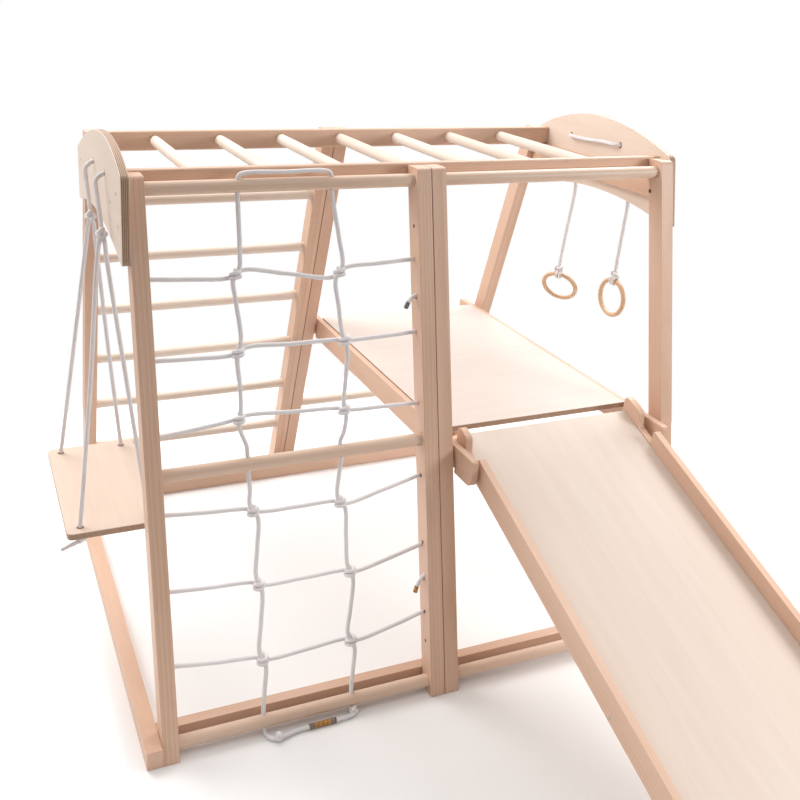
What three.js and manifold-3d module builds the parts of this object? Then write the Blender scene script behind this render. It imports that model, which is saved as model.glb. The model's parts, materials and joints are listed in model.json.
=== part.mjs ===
// Indoor wooden climbing frame with a slide: two leaning bays joined by arched end plates and a
// horizontal ladder, a rope net, a platform, a hook-on slide, a swing and a pair of rings.
// Millimetres, +Z up. X runs along the frame, the slide points towards -Y.
import * as THREE from "three";
import { mergeVertices } from "three/addons/utils/BufferGeometryUtils.js";
import Module from "manifold-3d";

const wasm = await Module();
wasm.setup();

// ---- driving dimensions ----

const GAP = 0.3; // between pieces that touch
const ROD_SIDES = 16;
const ROPE_SIDES = 8;

const HEIGHT = 1234; // top of the posts
const POST_WIDTH = 36; // along X
const POST_DEPTH = 50; // along Y
const BAY_WIDTH = 684; // outer width of one bay
const BAY_GAP = 2;
const FRONT_FOOT = -621; // front face of the front posts at the floor
const FRONT_LEAN = 277; // how far that face moves back by the top
const REAR_FOOT = 625; // front face of the rear legs at the floor
const REAR_LEAN = -385;
const POST_CORNER = 9;

const BAR_RADIUS = 15;
const RUNG_RADIUS = 14;
const SOCKET_DEPTH = 14; // how far a bar or rung enters a post

const NET_BAR_HEIGHTS = { top: 1204, middle: 614, bottom: 28 };
const HOOK_BAR_Z = 549; // carries the platform's front end and the slide
const LADDER_PITCH = 172;
const LADDER_RUNGS = 6;
const REAR_LOW_BAR_Z = 250;

const PLATE_THICKNESS = 18;
const MONKEY_RAIL = { thickness: 22, low: 1187, high: 1237 };
const MONKEY_FRONT_Y = -293; // front face of the front rail
const MONKEY_REAR_Y = 239; // rear face of the rear rail
const MONKEY_RUNG_Z = 1212;
const MONKEY_RUNGS = 7;

const BASE = { width: 36, height: 45 };
const BASE_CROSS = { depth: 27, frontY: -560, rearY: 525 };

const PLATFORM_RAIL = { thickness: 18, low: 527, high: 594, rear: 530 };
const PLATFORM_FRONT = { left: -568, right: -545 }; // front ends of the platform rails
const PLATFORM_X = { left: 730, right: 1312 }; // outer faces of the platform rails
const DECK = { thickness: 15, top: 597, front: -388, rear: 452 };

const SLIDE_X = { left: 757, right: 1281 }; // outer faces of the slide rails
const SLIDE_RAIL_THICKNESS = 18;
const SLIDE_SLOPE = 0.394;
const SLIDE_RAIL_HEIGHT = 65; // measured upright
const SLIDE_TOP_AT_BAR = 619; // rail top above the hook bar's axis
const SLIDE_UPPER_END = { left: -441, right: -422 };
const SLIDE_LOWER_END = -1952;
const SLIDE_NOTCH = { front: -547, rear: -487, depth: 38 }; // in the rails' top edges
const BED = { drop: 42, thickness: 9.7, front: -1896, rear: -429 }; // upright measures

const ROPE_RADIUS = 5;
const ROPE_HOLE_RADIUS = 8;

const SWING = {
  axisX: -36,
  axisZ: 1106,
  rearKnotY: -72,
  frontKnotY: -238,
  seatLeft: -150,
  seatRight: 66,
  seatFront: -354,
  seatRear: 69,
  seatTop: 445,
  seatThickness: 15,
  holeLeft: -119,
  holeRight: 33,
  holeFront: -328,
  holeRear: 44,
};

const RING = { major: 51, minor: 6.5, x: 1406, pivotZ: 1094 };

// ---- derived places ----

const LEFT_BAY = { low: 0, high: BAY_WIDTH };
const RIGHT_BAY = { low: BAY_WIDTH + BAY_GAP, high: 2 * BAY_WIDTH + BAY_GAP };
const FRAME_RIGHT = RIGHT_BAY.high;

const frontFace = (z) => FRONT_FOOT + (FRONT_LEAN * z) / HEIGHT;
const rearFace = (z) => REAR_FOOT + (REAR_LEAN * z) / HEIGHT;
const frontAxis = (z) => frontFace(z) + POST_DEPTH / 2;
const rearAxis = (z) => rearFace(z) + POST_DEPTH / 2;
const HOOK_BAR_Y = frontAxis(HOOK_BAR_Z);
const REAR_BAR_Y = rearAxis(HOOK_BAR_Z);
const slideTop = (y) => SLIDE_TOP_AT_BAR + SLIDE_SLOPE * (y - HOOK_BAR_Y);

// ---- materials ----

const wood = (color) => new THREE.MeshStandardMaterial({ color, roughness: 0.62, metalness: 0 });
const FRAME_WOOD = wood(0xe3bd9c);
const ROD_WOOD = wood(0xe2b795);
const PLYWOOD = wood(0xf0d6ba);
const RING_WOOD = wood(0xd9ab80);
const ROPE = new THREE.MeshStandardMaterial({ color: 0xe9e4df, roughness: 0.9, metalness: 0 });

// ---- helpers: solids ----

const model = new THREE.Group();

function add(name, geometry, material) {
  const mesh = new THREE.Mesh(geometry, material);
  mesh.name = name;
  model.add(mesh);
}

function solidOf(geometry) {
  const bare = geometry.clone();
  bare.deleteAttribute("normal");
  bare.deleteAttribute("uv");
  const merged = mergeVertices(bare, 1e-3);
  const vertProperties = new Float32Array(merged.attributes.position.array);
  const triVerts = new Uint32Array(merged.index.array);
  return new wasm.Manifold(new wasm.Mesh({ numProp: 3, vertProperties, triVerts }));
}

function geometryOf(solid) {
  const { numProp, vertProperties, triVerts } = solid.getMesh();
  const position = new Float32Array((vertProperties.length / numProp) * 3);
  for (let i = 0; i < position.length / 3; i += 1) {
    position.set(vertProperties.subarray(i * numProp, i * numProp + 3), i * 3);
  }
  const geometry = new THREE.BufferGeometry();
  geometry.setAttribute("position", new THREE.BufferAttribute(position, 3));
  geometry.setIndex(new THREE.BufferAttribute(new Uint32Array(triVerts), 1));
  return geometry;
}

function cut(geometry, cutters) {
  let solid = solidOf(geometry);
  for (const cutter of cutters) solid = solid.subtract(solidOf(cutter));
  return geometryOf(solid);
}

// A cylinder between two points.
function cylinder(from, to, radius) {
  const along = new THREE.Vector3().subVectors(to, from);
  const geometry = new THREE.CylinderGeometry(radius, radius, along.length(), ROD_SIDES);
  const turn = new THREE.Quaternion();
  turn.setFromUnitVectors(new THREE.Vector3(0, 1, 0), along.clone().normalize());
  geometry.applyQuaternion(turn);
  const middle = new THREE.Vector3().addVectors(from, to).multiplyScalar(0.5);
  return geometry.translate(middle.x, middle.y, middle.z);
}

const alongX = (low, high, y, z, radius) =>
  cylinder(new THREE.Vector3(low, y, z), new THREE.Vector3(high, y, z), radius);

const alongY = (x, low, high, z, radius) =>
  cylinder(new THREE.Vector3(x, low, z), new THREE.Vector3(x, high, z), radius);

// ---- helpers: outlines ----

// A closed outline through corners [a, b, radius]; each corner is rounded where it has a radius.
function outline(corners) {
  const shape = new THREE.Shape();
  corners.forEach(([a, b, radius = 0], i) => {
    const corner = new THREE.Vector2(a, b);
    const before = new THREE.Vector2(...corners.at(i - 1));
    const after = new THREE.Vector2(...corners[(i + 1) % corners.length]);
    const start = before.sub(corner).setLength(radius).add(corner);
    const end = after.sub(corner).setLength(radius).add(corner);
    if (i === 0) shape.moveTo(start.x, start.y);
    else shape.lineTo(start.x, start.y);
    if (radius > 0) shape.quadraticCurveTo(corner.x, corner.y, end.x, end.y);
  });
  shape.closePath();
  return shape;
}

const CORNER_STEPS = 4;

// An outline drawn in (Y, Z), given thickness along X.
function slabAlongX(shape, low, high, steps = CORNER_STEPS) {
  const settings = { depth: high - low, bevelEnabled: false, curveSegments: steps };
  const geometry = new THREE.ExtrudeGeometry(shape, settings);
  const turn = new THREE.Matrix4().makeBasis(
    new THREE.Vector3(0, 1, 0),
    new THREE.Vector3(0, 0, 1),
    new THREE.Vector3(1, 0, 0),
  );
  return geometry.applyMatrix4(turn).translate(low, 0, 0);
}

// An outline drawn in (X, Y), given thickness along Z.
function slabAlongZ(shape, low, high) {
  const settings = { depth: high - low, bevelEnabled: false, curveSegments: CORNER_STEPS };
  return new THREE.ExtrudeGeometry(shape, settings).translate(0, 0, low);
}

const rectangle = (lowA, highA, lowB, highB, radius = 0) =>
  outline([
    [lowA, lowB, radius],
    [highA, lowB, radius],
    [highA, highB, radius],
    [lowA, highB, radius],
  ]);

// ---- helpers: ropes ----

function ropeSection(radius) {
  const shape = new THREE.Shape();
  for (let i = 0; i < ROPE_SIDES; i += 1) {
    const angle = (2 * Math.PI * i) / ROPE_SIDES;
    const [a, b] = [radius * Math.cos(angle), radius * Math.sin(angle)];
    if (i === 0) shape.moveTo(a, b);
    else shape.lineTo(a, b);
  }
  shape.closePath();
  return shape;
}

function rope(points, steps, radius = ROPE_RADIUS) {
  const route = points.map((point) => new THREE.Vector3(...point));
  const extrudePath = new THREE.CatmullRomCurve3(route, false, "centripetal");
  const settings = { extrudePath, steps, bevelEnabled: false };
  return new THREE.ExtrudeGeometry(ropeSection(radius), settings);
}

// ---- front posts with their bars ----

function postOutline(face) {
  return outline([
    [face(0), 0, 3],
    [face(0) + POST_DEPTH, 0, 3],
    [face(HEIGHT) + POST_DEPTH, HEIGHT, POST_CORNER],
    [face(HEIGHT), HEIGHT, POST_CORNER],
  ]);
}

// A post with blind sockets for the bars at the given heights, on the face that looks at the bay.
function post(name, lowX, face, axis, sockets, opensRight) {
  const body = slabAlongX(postOutline(face), lowX, lowX + POST_WIDTH);
  const mouth = opensRight ? lowX + POST_WIDTH : lowX;
  const inwards = opensRight ? -1 : 1;
  const cutters = sockets.map(({ z, radius }) => {
    const ends = [mouth - inwards, mouth + inwards * SOCKET_DEPTH].sort((a, b) => a - b);
    return alongX(...ends, axis(z), z, radius + GAP);
  });
  add(name, cut(body, cutters), FRAME_WOOD);
}

function rodBetween(name, bay, axis, { z, radius }, holes = []) {
  const reach = POST_WIDTH - SOCKET_DEPTH + 1;
  const rod = alongX(bay.low + reach, bay.high - reach, axis(z), z, radius);
  add(name, holes.length ? cut(rod, holes) : rod, ROD_WOOD);
}

const bar = (z) => ({ z, radius: BAR_RADIUS });
const rung = (z) => ({ z, radius: RUNG_RADIUS });

const RIGHT_POST = BAY_WIDTH - POST_WIDTH; // inner face of a bay's right post, from the bay's left

function bay(leftName, rightName, bayX, face, axis, rods) {
  post(leftName, bayX.low, face, axis, rods, true);
  post(rightName, bayX.low + RIGHT_POST, face, axis, rods, false);
}

// ---- the net's rope routes ----

// Ropes lie in the plane of the net frame: uprights just in front of it, rows just behind it.
const NET_OFFSET = 5.4;
const NET_ROPE_STEPS = 80;
const inNetPlane = (offset) => ([x, z]) => [x, frontAxis(z) + offset, z];

const NET_DROP_X = 235; // where the rope's left fall passes through the three bars
const NET_RISE_X = 450; // and its right fall

// [x, z] on the way down the left fall: it steps sideways at each row's knot.
const LEFT_FALL = [
  [232, 1060],
  [230, 1037],
  [215, 1014],
  [219, 960],
  [225, 884],
  [215, 848],
  [218, 780],
  [216, 728],
  [211, 703],
  [226, 655],
];
const LEFT_FALL_LOW = [
  [228, 560],
  [226, 526],
  [243, 496],
  [238, 430],
  [232, 366],
  [244, 332],
  [238, 260],
  [231, 192],
  [244, 160],
  [238, 100],
];
const RIGHT_FALL = [
  [460, 1090],
  [466, 1026],
  [449, 998],
  [453, 940],
  [459, 880],
  [470, 846],
  [464, 780],
  [457, 722],
  [462, 694],
  [453, 655],
];
const RIGHT_FALL_LOW = [
  [438, 560],
  [433, 512],
  [450, 486],
  [450, 420],
  [451, 348],
  [463, 320],
  [454, 250],
  [445, 188],
  [460, 156],
  [454, 100],
];

// [x, z] along each row, from the left post to the middle post.
const NET_ROWS = [
  [
    [36, 1021], [120, 1016], [210, 1014], [240, 1028], [340, 1014],
    [447, 1000], [475, 1018], [560, 1023], [648, 1027],
  ],
  [
    [36, 854], [120, 851], [210, 851], [241, 864], [340, 862],
    [455, 861], [480, 858], [560, 859], [648, 862],
  ],
  [
    [36, 694], [120, 702], [208, 712], [230, 718], [340, 713],
    [448, 708], [470, 702], [560, 699], [648, 697],
  ],
  [
    [36, 528], [130, 520], [222, 513], [250, 503], [340, 500],
    [435, 498], [456, 489], [550, 506], [648, 527],
  ],
  [
    [36, 361], [130, 354], [228, 347], [250, 337], [350, 335],
    [450, 334], [472, 327], [560, 342], [648, 361],
  ],
  [
    [36, 196], [130, 184], [230, 174], [253, 165], [350, 168],
    [442, 172], [468, 163], [560, 177], [648, 196],
  ],
];

function netRoute() {
  const front = inNetPlane(-NET_OFFSET);
  const centre = inNetPlane(0);
  const { top, middle, bottom } = NET_BAR_HEIGHTS;
  const throughBar = (x, z, rise) => [
    centre([x, z + rise * (BAR_RADIUS + 8)]),
    centre([x, z]),
    centre([x, z - rise * (BAR_RADIUS + 8)]),
  ];
  const floorY = frontAxis(bottom);
  const leftTail = [
    [341, floorY - 30, 6],
    [305, floorY - 31, 6],
    [275, floorY - 38, 6.2],
    [256, floorY - 42, 7],
    [240, floorY - 32, 6.2],
    [NET_DROP_X - 1, floorY - 12, 7],
  ];
  const rightTail = [
    [NET_RISE_X, floorY - 12, 7],
    [448, floorY - 24, 6],
    [430, floorY - 29, 6],
    [393, floorY - 30, 6],
  ];
  const overTop = [
    [NET_DROP_X + 6, frontAxis(top), top + BAR_RADIUS + 9],
    [262, frontAxis(top), top + BAR_RADIUS + 16],
    [342, frontAxis(top), top + BAR_RADIUS + 11],
    [423, frontAxis(top), top + BAR_RADIUS + 16],
    [NET_RISE_X - 6, frontAxis(top), top + BAR_RADIUS + 9],
  ];
  return [
    ...leftTail,
    centre([NET_DROP_X, bottom]),
    centre([NET_DROP_X, bottom + 24]),
    ...LEFT_FALL_LOW.toReversed().map(front),
    ...throughBar(NET_DROP_X - 7, middle, -1),
    ...LEFT_FALL.toReversed().map(front),
    centre([NET_DROP_X, top - 24]),
    centre([NET_DROP_X, top]),
    ...overTop,
    centre([NET_RISE_X, top]),
    centre([NET_RISE_X, top - 24]),
    ...RIGHT_FALL.map(front),
    ...throughBar(NET_RISE_X - 3, middle, 1),
    ...RIGHT_FALL_LOW.map(front),
    centre([NET_RISE_X, bottom + 24]),
    centre([NET_RISE_X, bottom]),
    ...rightTail,
  ];
}

// ---- frame ----

function frontFrames() {
  const { top, middle, bottom } = NET_BAR_HEIGHTS;
  const netBars = { top: bar(top), middle: bar(middle), bottom: bar(bottom) };
  bay("net_post_left", "net_post_right", LEFT_BAY, frontFace, frontAxis, Object.values(netBars));
  const tunnel = rope(netRoute(), NET_ROPE_STEPS, ROPE_RADIUS + 0.9); // the rope's way through
  for (const [place, rod] of Object.entries(netBars)) {
    rodBetween(`net_bar_${place}`, LEFT_BAY, frontAxis, rod, [tunnel]);
  }
  const slideBars = { top: bar(top), hook: bar(HOOK_BAR_Z), bottom: bar(bottom) };
  const sockets = Object.values(slideBars);
  bay("slide_post_left", "slide_post_right", RIGHT_BAY, frontFace, frontAxis, sockets);
  for (const [place, rod] of Object.entries(slideBars)) {
    rodBetween(`slide_bar_${place}`, RIGHT_BAY, frontAxis, rod);
  }
}

function rearFrames() {
  const rungs = Array.from({ length: LADDER_RUNGS }, (_, i) => rung(LADDER_PITCH * (i + 1)));
  bay("ladder_leg_left", "ladder_leg_right", LEFT_BAY, rearFace, rearAxis, rungs);
  rungs.forEach((rod, i) => rodBetween(`ladder_rung_${i + 1}`, LEFT_BAY, rearAxis, rod));
  const low = rung(REAR_LOW_BAR_Z);
  const carrier = bar(HOOK_BAR_Z);
  bay("rear_leg_left", "rear_leg_right", RIGHT_BAY, rearFace, rearAxis, [low, carrier]);
  rodBetween("rear_bar_low", RIGHT_BAY, rearAxis, low);
  rodBetween("rear_bar_platform", RIGHT_BAY, rearAxis, carrier);
}

// The curve through a middle point, as the control point that a quadratic curve needs.
function arcControl([ay, az], [my, mz], [by, bz]) {
  return [2 * my - (ay + by) / 2, 2 * mz - (az + bz) / 2];
}

// The plates' outlines: the corners of their ends, and the middles of the arcs above and below.
const PLATES = {
  left: {
    frontFoot: [-381, 1055],
    frontHead: [-390, 1240],
    rearFoot: [262, 1060],
    rearHead: [262, 1194],
    crown: [-110, 1291],
    arch: [-60, 1098],
  },
  right: {
    frontFoot: [-367, 1064],
    frontHead: [-331, 1240],
    rearFoot: [268, 1058],
    rearHead: [268, 1236],
    crown: [-20, 1304],
    arch: [-45, 1104],
  },
};

function endPlate(name, lowX, place, ropeHoles) {
  const { frontFoot, frontHead, rearFoot, rearHead, crown, arch } = PLATES[place];
  const corner = 12;
  const lean = ((frontHead[0] - frontFoot[0]) / (frontHead[1] - frontFoot[1])) * corner;
  const start = [frontFoot[0] + lean, frontFoot[1] + corner];
  const shape = new THREE.Shape();
  shape.moveTo(...start);
  shape.lineTo(frontHead[0] - lean, frontHead[1] - corner);
  const topStart = [frontHead[0] + corner, frontHead[1] + 5];
  shape.quadraticCurveTo(...frontHead, ...topStart);
  const topEnd = [rearHead[0] - corner, rearHead[1] + 6];
  shape.quadraticCurveTo(...arcControl(topStart, crown, topEnd), ...topEnd);
  shape.quadraticCurveTo(...rearHead, rearHead[0], rearHead[1] - corner);
  shape.lineTo(rearFoot[0], rearFoot[1] + corner);
  const lowStart = [rearFoot[0] - corner, rearFoot[1] + 2];
  shape.quadraticCurveTo(...rearFoot, ...lowStart);
  const lowEnd = [frontFoot[0] + corner, frontFoot[1] + 2];
  shape.quadraticCurveTo(...arcControl(lowStart, arch, lowEnd), ...lowEnd);
  shape.quadraticCurveTo(...frontFoot, ...start);
  const holes = ropeHoles.map(([y, z]) =>
    alongX(lowX - 2, lowX + PLATE_THICKNESS + 2, y, z, ROPE_HOLE_RADIUS),
  );
  const arcSteps = 12;
  const plate = slabAlongX(shape, lowX, lowX + PLATE_THICKNESS, arcSteps);
  add(name, cut(plate, holes), PLYWOOD);
}

const SWING_HOLES = [
  [-26, 1208],
  [-186, 1211],
];
const RING_HOLES = [
  [100, 1232],
  [-128, 1239],
];

function endBoards() {
  endPlate("end_plate_left", -PLATE_THICKNESS - GAP, "left", SWING_HOLES);
  endPlate("end_plate_right", FRAME_RIGHT + GAP, "right", RING_HOLES);
  const [low, high] = [1131, MONKEY_RAIL.low - GAP];
  const board = outline([
    [frontFace(low) + POST_DEPTH + 1, low],
    [rearFace(low) - 1, low],
    [rearFace(high) - 1, high],
    [frontFace(high) + POST_DEPTH + 1, high],
  ]);
  add("end_board_right", slabAlongX(board, FRAME_RIGHT - 18, FRAME_RIGHT), FRAME_WOOD);
}

function monkeyLadder() {
  const { thickness, low, high } = MONKEY_RAIL;
  const frontInner = MONKEY_FRONT_Y + thickness;
  const rearInner = MONKEY_REAR_Y - thickness;
  const socket = 10;
  const places = Array.from(
    { length: MONKEY_RUNGS },
    (_, i) => ((i + 1) * FRAME_RIGHT) / (MONKEY_RUNGS + 1),
  );
  const sockets = (from, to) =>
    places.map((x) => alongY(x, from, to, MONKEY_RUNG_Z, RUNG_RADIUS + GAP));
  const rail = (lowY, highY) =>
    slabAlongX(rectangle(lowY, highY, low, high, 3), 0, FRAME_RIGHT, 1);
  const front = cut(rail(MONKEY_FRONT_Y, frontInner), sockets(frontInner - socket, frontInner + 1));
  const rear = cut(rail(rearInner, MONKEY_REAR_Y), sockets(rearInner - 1, rearInner + socket));
  add("monkey_rail_front", front, FRAME_WOOD);
  add("monkey_rail_rear", rear, FRAME_WOOD);
  const reach = socket - 1;
  places.forEach((x, i) => {
    const rod = alongY(x, frontInner - reach, rearInner + reach, MONKEY_RUNG_Z, RUNG_RADIUS);
    add(`monkey_rung_${i + 1}`, rod, ROD_WOOD);
  });
}

function baseFrame() {
  const { width, height } = BASE;
  const rear = REAR_FOOT + POST_DEPTH;
  const side = rectangle(FRONT_FOOT, rear, 0, height, 3);
  add("base_rail_left", slabAlongX(side, -width - GAP, -GAP), FRAME_WOOD);
  const right = FRAME_RIGHT + GAP;
  add("base_rail_right", slabAlongX(side, right, right + width), FRAME_WOOD);
  const { depth, frontY, rearY } = BASE_CROSS;
  const cross = (y) => slabAlongX(rectangle(y, y + depth, 0, height, 2), 0, FRAME_RIGHT);
  add("base_rail_front", cross(frontY), FRAME_WOOD);
  add("base_rail_rear", cross(rearY), FRAME_WOOD);
}

// ---- platform ----

// A slot from below with a round top, for a rail that drops over a bar, as a cutter in (Y, Z).
function hookSlot(barY, barZ, bottom) {
  const half = BAR_RADIUS + 0.5;
  const shape = new THREE.Shape();
  shape.moveTo(barY - half, bottom);
  shape.lineTo(barY + half, bottom);
  shape.lineTo(barY + half, barZ);
  shape.absarc(barY, barZ, half, 0, Math.PI, false);
  shape.closePath();
  return shape;
}

const SLOT_STEPS = 8;

function platform() {
  const { thickness, low, high, rear } = PLATFORM_RAIL;
  const rail = (name, lowX, front) => {
    const side = outline([
      [front, low, 20],
      [rear, low, 26],
      [rear, high, 8],
      [front, high, 8],
    ]);
    const slots = [HOOK_BAR_Y, REAR_BAR_Y].map((y) =>
      slabAlongX(hookSlot(y, HOOK_BAR_Z, low - 5), lowX - 2, lowX + thickness + 2, SLOT_STEPS),
    );
    add(name, cut(slabAlongX(side, lowX, lowX + thickness), slots), FRAME_WOOD);
  };
  rail("platform_rail_left", PLATFORM_X.left, PLATFORM_FRONT.left);
  rail("platform_rail_right", PLATFORM_X.right - thickness, PLATFORM_FRONT.right);
  const insideLeft = PLATFORM_X.left + thickness + GAP;
  const insideRight = PLATFORM_X.right - thickness - GAP;
  const deck = rectangle(insideLeft, insideRight, DECK.front, DECK.rear, 2);
  add("platform_deck", slabAlongZ(deck, DECK.top - DECK.thickness, DECK.top), PLYWOOD);
}

// ---- slide ----

function slideRailOutline(upperEnd) {
  const under = (y) => slideTop(y) - SLIDE_RAIL_HEIGHT;
  const touchdown = HOOK_BAR_Y - (SLIDE_TOP_AT_BAR - SLIDE_RAIL_HEIGHT) / SLIDE_SLOPE;
  const tailFoot = HOOK_BAR_Z - 26; // the hook reaches down behind the bar
  const { front: notchFront, rear: notchRear, depth } = SLIDE_NOTCH;
  return outline([
    [SLIDE_LOWER_END, slideTop(SLIDE_LOWER_END), 20],
    [SLIDE_LOWER_END + 6, 0, 10],
    [touchdown, 0],
    [HOOK_BAR_Y - BAR_RADIUS - 12, under(HOOK_BAR_Y - BAR_RADIUS - 12), 4],
    [HOOK_BAR_Y - BAR_RADIUS - 12, tailFoot + 8, 3],
    [upperEnd - 2, tailFoot, 6],
    [upperEnd, slideTop(upperEnd), 26],
    [notchRear, slideTop(notchRear), 9],
    [notchRear - 3, slideTop(notchRear - 3) - depth, 11],
    [notchFront + 3, slideTop(notchFront + 3) - depth, 11],
    [notchFront, slideTop(notchFront), 7],
  ]);
}

function slide() {
  const rail = (name, lowX, upperEnd) => {
    const side = slideRailOutline(upperEnd);
    const slot = hookSlot(HOOK_BAR_Y, HOOK_BAR_Z, HOOK_BAR_Z - 40);
    const cutter = slabAlongX(slot, lowX - 2, lowX + SLIDE_RAIL_THICKNESS + 2, SLOT_STEPS);
    add(name, cut(slabAlongX(side, lowX, lowX + SLIDE_RAIL_THICKNESS), [cutter]), FRAME_WOOD);
  };
  rail("slide_rail_left", SLIDE_X.left, SLIDE_UPPER_END.left);
  rail("slide_rail_right", SLIDE_X.right - SLIDE_RAIL_THICKNESS, SLIDE_UPPER_END.right);
  const surface = (y) => slideTop(y) - BED.drop;
  const bed = outline([
    [BED.front, surface(BED.front) - BED.thickness],
    [BED.rear, surface(BED.rear) - BED.thickness],
    [BED.rear, surface(BED.rear)],
    [BED.front, surface(BED.front)],
  ]);
  const insideLeft = SLIDE_X.left + SLIDE_RAIL_THICKNESS + GAP;
  const insideRight = SLIDE_X.right - SLIDE_RAIL_THICKNESS - GAP;
  add("slide_bed", slabAlongX(bed, insideLeft, insideRight), PLYWOOD);
}

// ---- swing ----

function swing() {
  const { seatLeft, seatRight, seatFront, seatRear, seatTop, seatThickness } = SWING;
  const { axisX, axisZ, holeLeft, holeRight, holeFront, holeRear } = SWING;
  const holes = [];
  for (const x of [holeLeft, holeRight]) {
    for (const y of [holeFront, holeRear]) {
      const from = new THREE.Vector3(x, y, seatTop - seatThickness - 2);
      const to = new THREE.Vector3(x, y, seatTop + 2);
      holes.push(cylinder(from, to, ROPE_HOLE_RADIUS));
    }
  }
  const board = rectangle(seatLeft, seatRight, seatFront, seatRear, 14);
  const seat = slabAlongZ(board, seatTop - seatThickness, seatTop);
  add("swing_seat", cut(seat, holes), PLYWOOD);

  const hangingRope = (knotY, holeY) => [
    [holeLeft, holeY, seatTop - seatThickness - 14],
    [holeLeft, holeY, seatTop],
    [holeLeft + (axisX - holeLeft) * 0.06, holeY + (knotY - holeY) * 0.06, seatTop + 40],
    [(holeLeft + axisX) / 2, (holeY + knotY) / 2, (seatTop + axisZ) / 2],
    [axisX - 12, knotY, axisZ - 75],
    [axisX - 5, knotY, axisZ - 30],
    [axisX, knotY, axisZ - 18],
    [axisX + 5, knotY, axisZ - 30],
    [axisX + 9, knotY, axisZ - 75],
    [(holeRight + axisX) / 2, (holeY + knotY) / 2, (seatTop + axisZ) / 2],
    [holeRight + (axisX - holeRight) * 0.06, holeY + (knotY - holeY) * 0.06, seatTop + 40],
    [holeRight, holeY, seatTop],
    [holeRight, holeY, seatTop - seatThickness - 14],
  ];
  const steps = 36;
  add("swing_rope_rear", rope(hangingRope(SWING.rearKnotY, holeRear), steps), ROPE);
  add("swing_rope_front", rope(hangingRope(SWING.frontKnotY, holeFront), steps), ROPE);
  add("swing_rope_hanger", rope(swingHangerRoute(), 36), ROPE);
}

// Up the plate's outer face, in through one hole, along the inner face and out through the other.
function swingHangerRoute() {
  const [[rearY, rearZ], [frontY, frontZ]] = SWING_HOLES;
  const { axisX, axisZ, rearKnotY, frontKnotY } = SWING;
  const outer = axisX - 6;
  return [
    [axisX, rearKnotY, axisZ - 5],
    [axisX, rearKnotY + 6, axisZ + 30],
    [outer, rearY - 10, rearZ - 36],
    [outer - 2, rearY - 3, rearZ - 13],
    [-21, rearY, rearZ - 0.5],
    [-9, rearY, rearZ],
    [3, rearY - 2, rearZ],
    [13, rearY - 14, rearZ],
    [13, rearY - 50, rearZ - 1],
    [12, (rearY + frontY) / 2, (rearZ + frontZ) / 2 - 3],
    [13, frontY + 50, frontZ - 1],
    [13, frontY + 14, frontZ],
    [3, frontY + 2, frontZ],
    [-9, frontY, frontZ],
    [-21, frontY, frontZ - 0.5],
    [outer - 2, frontY - 3, frontZ - 13],
    [outer, frontY - 10, frontZ - 36],
    [axisX, frontKnotY + 6, axisZ + 30],
    [axisX, frontKnotY, axisZ - 5],
  ];
}

// ---- rings ----

const RINGS = {
  rear: { topY: 97, y: 116, z: 760, normal: [0.7, 0.51, 0.5] },
  front: { topY: -150, y: -138, z: 803, normal: [1, 0.02, 0] },
};

function rings() {
  for (const [place, { topY, y, z, normal }] of Object.entries(RINGS)) {
    const facing = new THREE.Vector3(...normal).normalize();
    const torus = new THREE.TorusGeometry(RING.major, RING.minor, 10, 28);
    const turn = new THREE.Quaternion().setFromUnitVectors(new THREE.Vector3(0, 0, 1), facing);
    torus.applyQuaternion(turn).translate(RING.x, y, z);
    add(`ring_${place}`, torus, RING_WOOD);
    // The rope ends in its knot, just above the ring's highest point.
    const upwards = new THREE.Vector3(0, 0, 1).projectOnPlane(facing).setLength(RING.major);
    const knot = [RING.x + upwards.x, y + upwards.y, z + upwards.z + RING.minor + 6];
    const route = [
      knot,
      [knot[0], knot[1] - 1, knot[2] + 30],
      [(knot[0] + RING.x) / 2, (knot[1] + topY) / 2, (knot[2] + RING.pivotZ) / 2],
      [RING.x, topY, RING.pivotZ - 30],
      [RING.x, topY, RING.pivotZ - 1],
    ];
    add(`ring_rope_${place}`, rope(route, 10), ROPE);
  }
  add("ring_rope_top", rope(ringTopRoute(), 38), ROPE);
}

function ringTopRoute() {
  const [[rearY, rearZ], [frontY, frontZ]] = RING_HOLES;
  const inner = FRAME_RIGHT - 13;
  const outer = RING.x;
  const face = FRAME_RIGHT + PLATE_THICKNESS / 2;
  return [
    [outer, RINGS.rear.topY, RING.pivotZ + 4],
    [outer + 2, RINGS.rear.topY, RING.pivotZ + 60],
    [outer + 3, rearY, rearZ - 40],
    [outer + 1, rearY, rearZ - 14],
    [face + 12, rearY, rearZ - 0.5],
    [face, rearY, rearZ],
    [face - 12, rearY - 2, rearZ],
    [inner, rearY - 16, rearZ + 2],
    [inner, rearY - 60, rearZ + 9],
    [inner, (rearY + frontY) / 2, (rearZ + frontZ) / 2 + 9],
    [inner, frontY + 60, frontZ + 6],
    [inner, frontY + 16, frontZ + 1],
    [face - 12, frontY + 2, frontZ],
    [face, frontY, frontZ],
    [face + 12, frontY, frontZ - 0.5],
    [outer + 1, frontY, frontZ - 14],
    [outer + 3, frontY - 6, frontZ - 40],
    [outer + 2, RINGS.front.topY, RING.pivotZ + 60],
    [outer, RINGS.front.topY, RING.pivotZ + 4],
  ];
}

// ---- net ----

function net() {
  add("net_rope_upright", rope(netRoute(), NET_ROPE_STEPS), ROPE);
  const ends = { low: POST_WIDTH + 1.5, high: RIGHT_POST - 1.5 };
  NET_ROWS.forEach((row, i) => {
    const route = row.map(([x, z]) => [Math.min(Math.max(x, ends.low), ends.high), z]);
    add(`net_rope_row_${i + 1}`, rope(route.map(inNetPlane(NET_OFFSET)), 18), ROPE);
  });
}

// ---- assembly ----

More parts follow.
